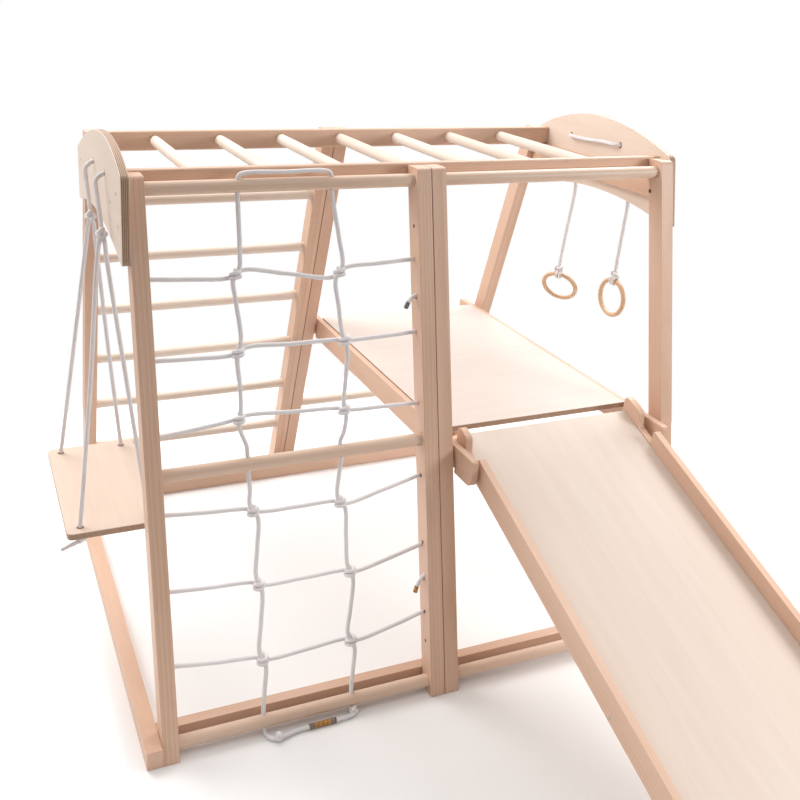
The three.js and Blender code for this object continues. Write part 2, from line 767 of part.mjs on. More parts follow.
frontFrames();
rearFrames();
endBoards();
monkeyLadder();
baseFrame();
platform();
slide();
swing();
rings();
net();

// The origin is the middle of the floor that the whole object covers.
const bounds = new THREE.Box3().setFromObject(model);
const centre = bounds.getCenter(new THREE.Vector3());
model.position.set(-centre.x, -centre.y, 0);

export default model;
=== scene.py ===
"""Indoor climbing frame with slide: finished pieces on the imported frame. Metres, +Z up."""
import json
import math

import bmesh
import bpy
from mathutils import Matrix, Quaternion, Vector


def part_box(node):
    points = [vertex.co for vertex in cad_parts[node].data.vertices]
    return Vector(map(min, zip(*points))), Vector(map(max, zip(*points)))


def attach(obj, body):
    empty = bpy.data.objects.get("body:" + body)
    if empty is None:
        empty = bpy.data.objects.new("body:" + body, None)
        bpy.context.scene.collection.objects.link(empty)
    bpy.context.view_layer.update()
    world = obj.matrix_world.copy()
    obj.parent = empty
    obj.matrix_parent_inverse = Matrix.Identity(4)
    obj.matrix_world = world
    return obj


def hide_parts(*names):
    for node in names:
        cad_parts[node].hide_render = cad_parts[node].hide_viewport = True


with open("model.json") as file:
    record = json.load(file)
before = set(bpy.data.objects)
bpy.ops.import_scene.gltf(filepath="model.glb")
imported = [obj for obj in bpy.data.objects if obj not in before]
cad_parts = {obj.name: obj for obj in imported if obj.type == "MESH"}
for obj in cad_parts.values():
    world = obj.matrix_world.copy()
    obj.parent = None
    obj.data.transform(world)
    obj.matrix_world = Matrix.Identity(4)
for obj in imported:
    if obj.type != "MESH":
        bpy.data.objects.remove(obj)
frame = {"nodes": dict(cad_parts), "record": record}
NODES = frame["nodes"]
BODY_OF = {node: body for body, members in frame["record"]["behaviour"]["bodies"].items()
           for node in members}
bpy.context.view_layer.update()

# ---- places, in the millimetres that the frame was drawn in ----

SHIFT = Vector((-0.649307, 0.636998, 0.0))  # from the drawing's origin to the frame's

HEIGHT = 1234
POST_WIDTH = 36
HALF_POST_DEPTH = 25
BAY_WIDTH = 684
BAY_GAP = 2
FRAME_RIGHT = 2 * BAY_WIDTH + BAY_GAP
FRONT_FOOT, REAR_FOOT = -621, 625  # y of the legs' front edges at the floor
FRONT_RUN, REAR_RUN = 277, -385  # y of the legs' tops, counted from their feet
FRONT_LEAN = FRONT_RUN / HEIGHT
REAR_LEAN = REAR_RUN / HEIGHT
SLIDE_SLOPE = 0.394
PLATE_THICKNESS = 18
PLATE_FACES = (-18.3, FRAME_RIGHT + 18.3)  # outer faces of the end plates, left and right
PLATFORM_FACES = (730, 1312)
SLIDE_FACES = (757, 1281)
BASE_FACES = (-36.3, FRAME_RIGHT + 36.3)

# ---- sizes in metres ----

BAR_RADIUS = 0.015
RUNG_RADIUS = 0.014
ROPE_RADIUS = 0.005
X_AXIS, Y_AXIS, Z_AXIS = (1, 0, 0), (0, 1, 0), (0, 0, 1)
LEFTWARDS = (-1, 0, 0)


def at(x, y, z):
    return Vector((x, y, z)) / 1000 + SHIFT


def front_axis(z):
    """Where the middle of the front posts lies at height z."""
    return FRONT_FOOT + FRONT_LEAN * z + HALF_POST_DEPTH


def rear_face(z):
    """Where the front edge of the rear legs lies at height z."""
    return REAR_FOOT + REAR_LEAN * z


# ---- camera ----


def make_camera():
    right = Vector((0.92420566, -0.37890373, 0.04770596))
    up = Vector((0.08050811, 0.31541923, 0.94553115))
    ahead = Vector((0.37331266, 0.87002452, -0.32201706))
    camera = bpy.data.cameras.new("camera")
    camera.lens = 43.0
    camera.sensor_width = 36.0
    camera.shift_x = 0.0625
    camera.shift_y = -0.1125
    camera.clip_start = 0.05
    camera.clip_end = 100
    obj = bpy.data.objects.new("camera", camera)
    turn = Matrix((right, up, -ahead)).transposed().to_4x4()
    obj.matrix_world = Matrix.Translation((-0.968904, -1.620548, 1.617850)) @ turn
    bpy.context.scene.collection.objects.link(obj)
    bpy.context.scene.camera = obj


make_camera()

# ---- node helpers ----


class Shader:
    """A material's node tree with its Principled shader."""

    def __init__(self, name, **settings):
        self.material = bpy.data.materials.new(name)
        self.material.use_nodes = True
        self.nodes = self.material.node_tree.nodes
        self.links = self.material.node_tree.links
        self.principled = self.nodes["Principled BSDF"]
        for socket, value in settings.items():
            self.principled.inputs[socket.replace("_", " ")].default_value = value

    def add(self, kind, inputs=None, **settings):
        """A node of this kind. Each input is another node's output or a constant."""
        node = self.nodes.new(kind)
        for key, value in settings.items():
            setattr(node, key, value)
        for key, value in (inputs or {}).items():
            if isinstance(value, bpy.types.NodeSocket):
                self.links.new(value, node.inputs[key])
            else:
                node.inputs[key].default_value = value
        return node

    def math(self, operation, *values):
        return self.add("ShaderNodeMath", dict(enumerate(values)), operation=operation).outputs[0]

    def attribute(self, name):
        return self.add("ShaderNodeAttribute", attribute_name=name).outputs["Vector"]

    def scaled(self, vector, scale):
        node = self.add("ShaderNodeVectorMath", {0: vector, 1: scale}, operation="MULTIPLY")
        return node.outputs[0]

    def noise(self, vector, scale, detail=2.0, roughness=0.5):
        settings = {"Vector": vector, "Scale": scale, "Detail": detail, "Roughness": roughness}
        return self.add("ShaderNodeTexNoise", settings).outputs["Fac"]

    def ramp(self, fac, stops):
        node = self.add("ShaderNodeValToRGB", {"Fac": fac})
        elements = node.color_ramp.elements
        while len(elements) < len(stops):
            elements.new(0.5)
        for element, (place, color) in zip(elements, stops):
            element.position = place
            element.color = (*color, 1)
        return node.outputs["Color"]

    def mix(self, fac, a, b):
        a, b = (c if isinstance(c, bpy.types.NodeSocket) else (*c, 1) for c in (a, b))
        node = self.add("ShaderNodeMix", {0: fac, 6: a, 7: b}, data_type="RGBA")
        return node.outputs[2]

    def color(self, socket):
        self.links.new(socket, self.principled.inputs["Base Color"])

    def roughness(self, fac, low, high):
        settings = {"Value": fac, "To Min": low, "To Max": high}
        node = self.add("ShaderNodeMapRange", settings)
        self.links.new(node.outputs[0], self.principled.inputs["Roughness"])

    def bump(self, height, strength, distance):
        settings = {"Height": height, "Strength": strength, "Distance": distance}
        node = self.add("ShaderNodeBump", settings)
        self.links.new(node.outputs["Normal"], self.principled.inputs["Normal"])


# ---- materials. "grain" holds metres along the grain, across it and through the board ----


def solid_wood(name, light, dark, ring_scale=62.0, roughness=(0.42, 0.58)):
    s = Shader(name)
    s.principled.inputs["Coat Weight"].default_value = 0.12
    s.principled.inputs["Coat Roughness"].default_value = 0.35
    grain = s.attribute("grain")
    wander = s.noise(s.scaled(grain, (1.6, 9.0, 9.0)), 1.0, 2.0)
    stretched = s.scaled(grain, (0.05, 1.0, 1.0))
    wave = s.add("ShaderNodeTexWave", {"Vector": stretched, "Scale": ring_scale, "Distortion": 3.2,
                                       "Detail": 2.0, "Detail Scale": 0.35},
                 wave_type="RINGS", rings_direction="X", wave_profile="SAW").outputs["Fac"]
    fibre = s.noise(s.scaled(grain, (9.0, 420.0, 420.0)), 1.0, 3.0, 0.6)
    tone = s.math("ADD", s.math("MULTIPLY", wave, 0.26), s.math("MULTIPLY", wander, 0.8))
    tone = s.math("ADD", tone, s.math("MULTIPLY", fibre, 0.3))
    middle = tuple((a + b) / 2 for a, b in zip(light, dark))
    color = s.ramp(tone, [(0.4, light), (0.72, middle), (1.0, dark)])
    pores = s.noise(s.scaled(grain, (38.0, 900.0, 900.0)), 1.0, 1.0)
    pores = s.math("GREATER_THAN", pores, 0.69)
    color = s.mix(s.math("MULTIPLY", pores, 0.28), color, tuple(c * 0.72 for c in dark))
    s.color(color)
    s.roughness(fibre, *roughness)
    s.bump(s.math("SUBTRACT", fibre, s.math("MULTIPLY", pores, 0.6)), 0.16, 0.0006)
    return s.material


def plywood(name, face, face_dark, layer, thickness):
    """Veneered faces; the layers show wherever a surface cuts through the board."""
    core_light, core_dark, glue_line = (0.62, 0.42, 0.29), (0.27, 0.15, 0.09), (0.16, 0.085, 0.045)
    veneer_depth = 0.0011
    s = Shader(name)
    s.principled.inputs["Coat Weight"].default_value = 0.1
    s.principled.inputs["Coat Roughness"].default_value = 0.4
    grain = s.attribute("grain")
    depth = s.add("ShaderNodeSeparateXYZ", {0: grain}).outputs[2]
    cloud = s.noise(s.scaled(grain, (1.1, 5.0, 0.0)), 1.0, 3.0)
    flame = s.noise(s.scaled(grain, (2.6, 34.0, 0.0)), 1.0, 4.0, 0.62)
    fibre = s.noise(s.scaled(grain, (12.0, 480.0, 480.0)), 1.0, 2.0, 0.6)
    tone = s.math("ADD", s.math("MULTIPLY", flame, 0.62), s.math("MULTIPLY", cloud, 0.4))
    tone = s.math("ADD", tone, s.math("MULTIPLY", fibre, 0.16))
    veneer = s.ramp(tone, [(0.4, face), (0.82, face_dark)])
    # Light and dark layers by depth, with a thin glue line between them.
    wavy = s.math("ADD", depth, s.math("MULTIPLY", s.math("SUBTRACT", flame, 0.5), 0.0004))
    in_pair = s.math("FRACT", s.math("DIVIDE", wavy, 2 * layer))
    crossed = s.math("GREATER_THAN", in_pair, 0.5)
    streak = s.noise(s.scaled(grain, (150.0, 150.0, 60.0)), 1.0, 2.0)
    core = s.mix(crossed, core_light, core_dark)
    core = s.mix(s.math("MULTIPLY", streak, 0.35), core, tuple(c * 0.7 for c in core_dark))
    glue = s.math("LESS_THAN", s.math("ABSOLUTE", s.math("SUBTRACT", in_pair, 0.5)), 0.06)
    core = s.mix(s.math("MULTIPLY", glue, 0.6), core, glue_line)
    nearest_face = s.math("MINIMUM", depth, s.math("SUBTRACT", thickness, depth))
    inside = s.math("GREATER_THAN", nearest_face, veneer_depth)
    s.color(s.mix(inside, veneer, core))
    s.roughness(flame, 0.4, 0.56)
    s.bump(fibre, 0.1, 0.0004)
    return s.material


def rope_material():
    """A braided cord. "lay" holds metres along the cord and turns round it."""
    s = Shader("braided_rope")
    s.principled.inputs["Sheen Weight"].default_value = 0.35
    s.principled.inputs["Sheen Roughness"].default_value = 0.5
    s.principled.inputs["Subsurface Weight"].default_value = 0.06
    s.principled.inputs["Subsurface Scale"].default_value = 0.002
    along, around, _ = s.add("ShaderNodeSeparateXYZ", {0: s.attribute("lay")}).outputs
    strands, pitch = 6.0, 0.019
    climb = s.math("DIVIDE", along, pitch / strands)
    turn = s.math("MULTIPLY", around, strands)
    left = s.math("SINE", s.math("MULTIPLY", s.math("ADD", climb, turn), 2 * math.pi))
    right = s.math("SINE", s.math("MULTIPLY", s.math("SUBTRACT", climb, turn), 2 * math.pi))
    braid = s.math("MAXIMUM", left, right)
    seam_shade_and_height = s.math("MULTIPLY", s.math("ADD", braid, 1.0), 0.5)
    fuzz = s.noise(s.scaled(s.attribute("lay"), (900.0, 26.0, 0.0)), 1.0, 3.0, 0.7)
    stain = s.noise(s.scaled(s.attribute("lay"), (7.0, 0.6, 0.0)), 1.0, 2.0)
    # Painted shade: the seams between the strands are coloured darker, as the shadow in the
    # grooves; the same value raises the bump.
    color = s.ramp(seam_shade_and_height, [(0.12, (0.5, 0.45, 0.455)), (0.5, (0.89, 0.855, 0.86))])
    color = s.mix(s.math("MULTIPLY", stain, 0.22), color, (0.78, 0.72, 0.725))
    color = s.mix(s.math("MULTIPLY", fuzz, 0.25), color, (0.93, 0.905, 0.905))
    s.color(color)
    s.roughness(fuzz, 0.78, 0.95)
    height = s.math("ADD", seam_shade_and_height, s.math("MULTIPLY", fuzz, 0.35))
    s.bump(height, 0.8, 0.0008)
    return s.material


def steel():
    s = Shader("screw_steel", Metallic=1.0)
    spot = s.add("ShaderNodeTexCoord").outputs["Object"]
    brushed = s.noise(spot, 700.0, 2.0)
    s.color(s.ramp(brushed, [(0.3, (0.36, 0.35, 0.34)), (0.7, (0.6, 0.58, 0.56))]))
    s.roughness(brushed, 0.28, 0.45)
    return s.material


def tape(name, light, dark):
    """Shiny wrapped tape round a rope's end, with the overlap lines of the wrap painted as shade:
    each lap is dark at its overlap edge and lighter across the band.
    """
    tape_width = 0.011
    s = Shader(name)
    along, around, _ = s.add("ShaderNodeSeparateXYZ", {0: s.attribute("lay")}).outputs
    lap = s.math("FRACT", s.math("ADD", s.math("DIVIDE", along, tape_width), around))
    crease = s.noise(s.scaled(s.attribute("lay"), (220.0, 7.0, 0.0)), 1.0, 2.0)
    # Painted shade across each lap, mixed with the crease noise; the same value raises the bump.
    shade = s.math("MULTIPLY", s.math("ADD", lap, crease), 0.5)
    s.color(s.ramp(shade, [(0.2, dark), (0.6, light)]))
    s.roughness(crease, 0.25, 0.45)
    s.bump(shade, 0.5, 0.0006)
    return s.material


def painted_hole_shade():
    # Painted shade: a dark brown laid on thin discs over bored holes, standing for the shadow
    # inside them.
    s = Shader("bored_hole_shade")
    spot = s.add("ShaderNodeTexCoord").outputs["Object"]
    s.color(s.ramp(s.noise(spot, 300.0), [(0.3, (0.1, 0.055, 0.035)), (0.7, (0.2, 0.12, 0.08))]))
    s.roughness(s.noise(spot, 500.0), 0.8, 0.95)
    return s.material


FRAME_WOOD = solid_wood("frame_wood", (0.74, 0.505, 0.38), (0.56, 0.34, 0.22))
BAR_WOOD = solid_wood("bar_wood", (0.75, 0.56, 0.44), (0.6, 0.405, 0.29), 90.0)
ROD_WOOD = solid_wood("rod_wood", (0.8, 0.69, 0.6), (0.665, 0.52, 0.42), 90.0)
RING_WOOD = solid_wood("ring_wood", (0.76, 0.52, 0.33), (0.56, 0.33, 0.18), 120.0, (0.34, 0.46))
PLATE_PLY = plywood("plate_plywood", (0.78, 0.645, 0.545), (0.7, 0.545, 0.435), 0.0018, 0.018)
DECK_PLY = plywood("deck_plywood", (0.67, 0.575, 0.52), (0.635, 0.53, 0.475), 0.0015, 0.015)
BED_PLY = plywood("bed_plywood", (0.69, 0.58, 0.505), (0.635, 0.515, 0.435), 0.0015, 0.009)
SEAT_PLY = plywood("seat_plywood", (0.66, 0.52, 0.425), (0.585, 0.44, 0.35), 0.0015, 0.015)
ROPE = rope_material()
STEEL = steel()
GREY_TAPE = tape("grey_tape", (0.2, 0.19, 0.19), (0.1, 0.095, 0.095))
AMBER_TAPE = tape("amber_tape", (0.5, 0.24, 0.05), (0.26, 0.1, 0.02))
HOLE_SHADE = painted_hole_shade()

# ---- meshes ----

SMOOTH_BELOW = math.radians(50)


def new_object(name, mesh, material, body):
    obj = bpy.data.objects.new(name, mesh)
    bpy.context.scene.collection.objects.link(obj)
    mesh.materials.clear()
    mesh.materials.append(material)
    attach(obj, body)
    return obj


def even_normals(obj):
    weighted = obj.modifiers.new("even_normals", "WEIGHTED_NORMAL")
    weighted.keep_sharp = True
    weighted.weight = 80


def write_grain(mesh, along, through, seed, corner=None):
    """Stores where each vertex lies along the grain, across it and through the board."""
    along = Vector(along).normalized()
    through = Vector(through)
    through = (through - along * through.dot(along)).normalized()
    across = through.cross(along)
    origin = Vector(corner) if corner else mesh.vertices[0].co.copy()
    layer = mesh.attributes.new("grain", "FLOAT_VECTOR", "POINT")
    # Each piece is cut from another place of the tree. A board's depth starts at its own face.
    offset = Vector((seed * 3.17 % 7, seed * 0.613 % 1.9 + 0.05, seed * 0.377 % 0.9))
    if corner:
        offset.z = 0
    for vertex, value in zip(mesh.vertices, layer.data):
        part = vertex.co - origin
        value.vector = Vector((part.dot(along), part.dot(across), part.dot(through))) + offset


def rounded(name, radius):
    """A copy of a CAD node whose flat faces are whole again and whose edges are rounded."""
    flat_below, sharp_above = math.radians(0.8), math.radians(28)
    mesh = bpy.data.meshes.new(name + "_rounded")
    bm = bmesh.new()
    bm.from_mesh(NODES[name].data)
    bmesh.ops.remove_doubles(bm, verts=bm.verts, dist=2e-5)
    bmesh.ops.dissolve_limit(bm, angle_limit=flat_below, verts=bm.verts, edges=bm.edges)
    edges = [edge for edge in bm.edges
             if len(edge.link_faces) == 2 and edge.calc_face_angle(0) > sharp_above]
    bmesh.ops.bevel(bm, geom=edges, offset=radius, segments=2, profile=0.5,
                    affect="EDGES", clamp_overlap=True)
    bmesh.ops.recalc_face_normals(bm, faces=bm.faces)
    for face in bm.faces:
        face.smooth = True
    for edge in bm.edges:
        edge.smooth = len(edge.link_faces) < 2 or edge.calc_face_angle(0) < SMOOTH_BELOW
    bm.to_mesh(mesh)
    bm.free()
    return mesh


def carpentry(name, material, along, through, seed, radius=0.002, corner=None):
    mesh = rounded(name, radius)
    write_grain(mesh, along, through, seed, corner)
    obj = new_object(name + "_finished", mesh, material, BODY_OF[name])
    even_normals(obj)
    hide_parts(name)


def rod(name, radius, axis, material, seed):
    """A turned rod along X (axis 0) or Y (axis 1), as long as the CAD one, with eased ends."""
    low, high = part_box(name)
    middle = (low + high) / 2
    half = (high - low)[axis] / 2
    sides, stations, ease = 40, 6, 0.0015
    profile = [(-half, 0), (-half, radius - ease), (-half + ease, radius)]
    profile += [(-half + ease + (2 * half - 2 * ease) * i / stations, radius)
                for i in range(1, stations)]
    profile += [(half - ease, radius), (half, radius - ease), (half, 0)]
    direction, through = ((X_AXIS, (0, 0.3, 1)), (Y_AXIS, (0.3, 0, 1)))[axis]
    mesh = lathe(name + "_turned", profile, sides, middle, direction)
    write_grain(mesh, direction, through, seed)
    obj = new_object(name + "_finished", mesh, material, BODY_OF[name])
    even_normals(obj)
    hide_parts(name)


def lathe(name, profile, sides, origin, direction):
    """A closed surface turned about direction, from (distance along it, radius) pairs."""
    turn = Vector((0, 0, 1)).rotation_difference(Vector(direction).normalized())
    bm = bmesh.new()
    rings = []
    for along, radius in profile:
        if radius == 0:
            rings.append([bm.verts.new(origin + turn @ Vector((0, 0, along)))])
            continue
        ring = []
        for i in range(sides):
            angle = 2 * math.pi * i / sides
            spot = Vector((radius * math.cos(angle), radius * math.sin(angle), along))
            ring.append(bm.verts.new(origin + turn @ spot))
        rings.append(ring)
    for a, b in zip(rings, rings[1:]):
        for i in range(sides):
            j = (i + 1) % sides
            if len(a) == 1:
                bm.faces.new((a[0], b[j], b[i]))
            elif len(b) == 1:
                bm.faces.new((a[i], a[j], b[0]))
            else:
                bm.faces.new((a[i], a[j], b[j], b[i]))
    bmesh.ops.recalc_face_normals(bm, faces=bm.faces)
    for face in bm.faces:
        face.smooth = True
    for edge in bm.edges:
        edge.smooth = edge.calc_face_angle(0) < SMOOTH_BELOW
    mesh = bpy.data.meshes.new(name)
    bm.to_mesh(mesh)
    bm.free()
    return mesh


# ---- rope: tubes along a line, with the lay stored for the braid ----

ROPE_STEP = 0.005


def centripetal(points, step):
    """The smooth curve through points, as points about step apart."""
    ends = [points[0] * 2 - points[1], *points, points[-1] * 2 - points[-2]]
    line = [points[0].copy()]
    for p0, p1, p2, p3 in zip(ends, ends[1:], ends[2:], ends[3:]):
        gaps = [max((b - a).length ** 0.5, 1e-4) for a, b in ((p0, p1), (p1, p2), (p2, p3))]
        t1 = gaps[0]
        t2 = t1 + gaps[1]
        t3 = t2 + gaps[2]
        count = max(2, round((p2 - p1).length / step))
        for i in range(1, count + 1):
            t = t1 + (t2 - t1) * i / count
            a1 = p0 * ((t1 - t) / t1) + p1 * (t / t1)
            a2 = p1 * ((t2 - t) / (t2 - t1)) + p2 * ((t - t1) / (t2 - t1))
            a3 = p2 * ((t3 - t) / (t3 - t2)) + p3 * ((t - t2) / (t3 - t2))
            b1 = a1 * ((t2 - t) / t2) + a2 * (t / t2)
            b2 = a2 * ((t3 - t) / (t3 - t1)) + a3 * ((t - t1) / (t3 - t1))
            line.append(b1 * ((t2 - t) / (t2 - t1)) + b2 * ((t - t1) / (t2 - t1)))
    return line


def tube_mesh(name, line, radius, sides=14, closed=False):
    """A tube along line, with a low tip on each end unless the line is closed."""
    count = len(line)
    tangents = []
    for i in range(count):
        before = line[i - 1] if i or closed else line[0]
        after = line[(i + 1) % count] if i < count - 1 or closed else line[-1]
        tangents.append((after - before).normalized())
    side = tangents[0].orthogonal().normalized()
    sides_of = [side]
    for a, b in zip(tangents, tangents[1:]):
        side = a.rotation_difference(b) @ side
        side = (side - b * side.dot(b)).normalized()
        sides_of.append(side)
    twist = 0.0
    if closed:
        back = tangents[-1].rotation_difference(tangents[0]) @ sides_of[-1]
        first = sides_of[0]
        twist = math.atan2(tangents[0].dot(back.cross(first)), back.dot(first))
    lengths = [0.0]
    for a, b in zip(line, line[1:]):
        lengths.append(lengths[-1] + (b - a).length)
    total = lengths[-1] + ((line[0] - line[-1]).length if closed else 0)
    bm = bmesh.new()
    lay = bm.loops.layers.float_vector.new("lay")
    rings = []
    for i, (spot, tangent, side) in enumerate(zip(line, tangents, sides_of)):
        turned = Quaternion(tangent, twist * i / count) @ side
        other = tangent.cross(turned)
        rings.append([bm.verts.new(spot + radius * (math.cos(2 * math.pi * k / sides) * turned
                                                    + math.sin(2 * math.pi * k / sides) * other))
                      for k in range(sides)])
    pairs = [(i, i + 1) for i in range(count - 1)] + ([(count - 1, 0)] if closed else [])
    for i, j in pairs:
        end = lengths[j] if j else total
        for k in range(sides):
            m = (k + 1) % sides
            face = bm.faces.new((rings[i][k], rings[i][m], rings[j][m], rings[j][k]))
            face.smooth = True
            values = ((lengths[i], k), (lengths[i], k + 1), (end, k + 1), (end, k))
            for loop, (u, v) in zip(face.loops, values):
                loop[lay] = Vector((u, v / sides, 0))
    if not closed:
        for ring, tangent, spot, flip in ((rings[0], -tangents[0], line[0], True),
                                          (rings[-1], tangents[-1], line[-1], False)):
            tip = bm.verts.new(spot + tangent * radius * 0.35)
            for k in range(sides):
                m = (k + 1) % sides
                trio = (ring[m], ring[k], tip) if flip else (ring[k], ring[m], tip)
                face = bm.faces.new(trio)
                face.smooth = True
                for loop in face.loops:
                    loop[lay] = Vector((lengths[0] if flip else lengths[-1], k / sides, 0))
    bmesh.ops.recalc_face_normals(bm, faces=bm.faces)
    mesh = bpy.data.meshes.new(name)
    bm.to_mesh(mesh)
    bm.free()
    return mesh


def rope(node, points):
    """The braided rope in place of a CAD one, through points in the drawing's millimetres."""
    line = centripetal([at(*p) for p in points], ROPE_STEP)
    mesh = tube_mesh(node + "_braid", line, ROPE_RADIUS)
    obj = new_object(node + "_braided", mesh, ROPE, BODY_OF[node])
    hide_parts(node)


def small_tube(name, line, radius, material, body, closed=False):
    mesh = tube_mesh(name, line, radius, 12, closed)
    return new_object(name, mesh, material, body)


def knot(name, centre, up, body, size=0.0052):
    """A pulled-tight overhand knot: one closed strand that winds through itself."""
    turn = Vector(Z_AXIS).rotation_difference(Vector(up).normalized())
    steps, height, pulled_in = 72, 1.55, 0.62
    line = []
    for i in range(steps):
        t = 2 * math.pi * i / steps
        spot = Vector((math.sin(t) + 2 * math.sin(2 * t), math.cos(t) - 2 * math.cos(2 * t),
                       -height * math.sin(3 * t)))
        line.append(centre + turn @ (spot * size * pulled_in))
    return small_tube(name, line, ROPE_RADIUS * 0.92, ROPE, body, closed=True)


def wrap(name, centre, along, across, body):
    """Rope wound round two crossing ropes, ending tucked against them."""
    turns, half_deep, half_wide, rise = 2, 0.0125, 0.0095, 0.0098
    along = Vector(along).normalized()
    across = Vector(across)
    across = (across - along * across.dot(along)).normalized()
    deep = along.cross(across)
    line = []
    steps = 28 * turns
    for i in range(steps + 1):
        t = i / steps
        angle = 2 * math.pi * turns * t + math.pi / 2
        line.append(centre + along * rise * turns * (t - 0.5)
                    + across * half_wide * math.cos(angle) + deep * half_deep * math.sin(angle))
    return small_tube(name, line, ROPE_RADIUS * 0.9, ROPE, body)


# ---- timber ----

FRONT_GRAIN = (0, FRONT_LEAN, 1)
REAR_GRAIN = (0, REAR_LEAN, 1)
SLOPE = (0, 1, SLIDE_SLOPE)
ACROSS_SLOPE = (0, -SLIDE_SLOPE, 1)

TIMBER = [
    ("net_post_left", FRONT_GRAIN, X_AXIS), ("net_post_right", FRONT_GRAIN, X_AXIS),
    ("slide_post_left", FRONT_GRAIN, X_AXIS), ("slide_post_right", FRONT_GRAIN, X_AXIS),
    ("ladder_leg_left", REAR_GRAIN, X_AXIS), ("ladder_leg_right", REAR_GRAIN, X_AXIS),
    ("rear_leg_left", REAR_GRAIN, X_AXIS), ("rear_leg_right", REAR_GRAIN, X_AXIS),
    ("end_board_right", Y_AXIS, X_AXIS),
    ("monkey_rail_front", X_AXIS, Y_AXIS), ("monkey_rail_rear", X_AXIS, Y_AXIS),
    ("base_rail_left", Y_AXIS, X_AXIS), ("base_rail_right", Y_AXIS, X_AXIS),
    ("base_rail_front", X_AXIS, Y_AXIS), ("base_rail_rear", X_AXIS, Y_AXIS),
    ("slide_rail_left", SLOPE, X_AXIS), ("slide_rail_right", SLOPE, X_AXIS),
    ("platform_rail_left", Y_AXIS, X_AXIS), ("platform_rail_right", Y_AXIS, X_AXIS),
]
for number, (name, along, through) in enumerate(TIMBER, 1):
    carpentry(name, FRAME_WOOD, along, through, number)

BOARDS = [
    ("end_plate_left", PLATE_PLY, Y_AXIS, X_AXIS), ("end_plate_right", PLATE_PLY, Y_AXIS, X_AXIS),
    ("platform_deck", DECK_PLY, X_AXIS, Z_AXIS), ("swing_seat", SEAT_PLY, Y_AXIS, Z_AXIS),
]
for number, (name, material, along, through) in enumerate(BOARDS, 31):
    carpentry(name, material, along, through, number, 0.0016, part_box(name)[0])
carpentry("slide_bed", BED_PLY, SLOPE, ACROSS_SLOPE, 41, 0.001,
          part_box("slide_bed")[0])

# ---- turned rods ----

BARS_ACROSS = ["net_bar_top", "net_bar_middle", "net_bar_bottom", "slide_bar_top",
               "slide_bar_hook", "slide_bar_bottom", "rear_bar_platform"]
for number, name in enumerate(BARS_ACROSS, 51):
    rod(name, BAR_RADIUS, 0, BAR_WOOD, number)
for number, name in enumerate(["rear_bar_low", *(f"ladder_rung_{i}" for i in range(1, 7))], 61):
    rod(name, RUNG_RADIUS, 0, ROD_WOOD, number)
for i in range(1, 8):
    rod(f"monkey_rung_{i}", RUNG_RADIUS, 1, ROD_WOOD, 70 + i)

# ---- swing ropes and knots ----

SEAT_TOP, SEAT_UNDER, SEAT_ROPE_END = 445, 430, 416
SWING_X, SWING_Z = -36, 1106
KNOT_DROP = 13  # a knot's middle lies this far under what it holds
HOLE_X = (-119, 33)
HOLE_RADIUS = 0.0076
SWING_SIDES = {"rear": (-72, 44), "front": (-238, -328)}  # knot y, seat hole y


def seat_to_middle(x, hole_y, knot_y):
    """From under the seat, up through its hole and halfway to the knot above."""
    turned_in = 0.06
    return [
        (x, hole_y, SEAT_ROPE_END),
        (x, hole_y, SEAT_TOP),
        (x + (SWING_X - x) * turned_in, hole_y + (knot_y - hole_y) * turned_in, SEAT_TOP + 40),
        ((x + SWING_X) / 2, (hole_y + knot_y) / 2, (SEAT_TOP + SWING_Z) / 2),
    ]


for side, (knot_y, hole_y) in SWING_SIDES.items():
    left, right = HOLE_X
    ends = [knot(f"seat_knot_{side}_{word}", at(x, hole_y, SEAT_UNDER - KNOT_DROP), Z_AXIS, "swing")
            for word, x in (("left", left), ("right", right))]
    top = knot(f"swing_knot_{side}", at(SWING_X, knot_y, SWING_Z - KNOT_DROP), Y_AXIS, "swing")
    rope(f"swing_rope_{side}", [
        *seat_to_middle(left, hole_y, knot_y),
        (SWING_X - 12, knot_y, SWING_Z - 75),
        (SWING_X - 5, knot_y, SWING_Z - 30),
        (SWING_X, knot_y, SWING_Z - 18),
        (SWING_X + 5, knot_y, SWING_Z - 30),
        (SWING_X + 9, knot_y, SWING_Z - 75),
        *reversed(seat_to_middle(right, hole_y, knot_y)),
    ])

tail = [at(-119, -328, 419), at(-128, -333, 411), at(-146, -338, 408), at(-163, -342, 404)]
small_tube("seat_rope_tail", centripetal(tail, 0.004), ROPE_RADIUS * 0.95, ROPE, "swing")
for x in HOLE_X:
    for knot_y, hole_y in SWING_SIDES.values():
        word = ("left" if x < 0 else "right") + ("_rear" if hole_y > 0 else "_front")
        # Each seat hole gets a thin dark disc round its rope: painted shade inside the hole.
        disc = [(0, 0), (0, HOLE_RADIUS), (0.0003, HOLE_RADIUS), (0.0003, 0)]
        hole = lathe("seat_hole_shade_" + word, disc, 28, at(x, hole_y, SEAT_TOP), Z_AXIS)
        new_object("seat_hole_shade_" + word, hole, HOLE_SHADE, "swing")


